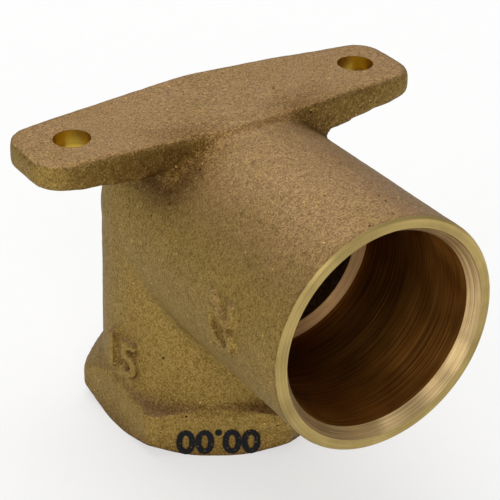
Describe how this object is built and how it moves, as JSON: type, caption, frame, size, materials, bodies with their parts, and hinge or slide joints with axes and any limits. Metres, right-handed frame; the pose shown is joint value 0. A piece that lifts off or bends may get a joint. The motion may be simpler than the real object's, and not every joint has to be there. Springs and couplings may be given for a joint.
{
  "type": "wall plate elbow",
  "caption": "Cast bronze elbow with a solder cup for copper tube, a female pipe thread in a hexagon collar, and an eared plate that screws to a wall.",
  "frame": {"origin": "on the thread axis, in the plane of the threaded collar's end face", "axes": "+Z along the thread axis from its mouth towards the wall plate, -Y along the solder cup's axis out of its mouth, X along the plate"},
  "size_m": [0.0474, 0.0485, 0.0386],
  "materials": {
    "cast_bronze": "sand cast outside, turned and drilled in the bores"
  },
  "bodies": {
    "root": {"elbow_casting": "cast_bronze"}
  },
  "joints": []
}
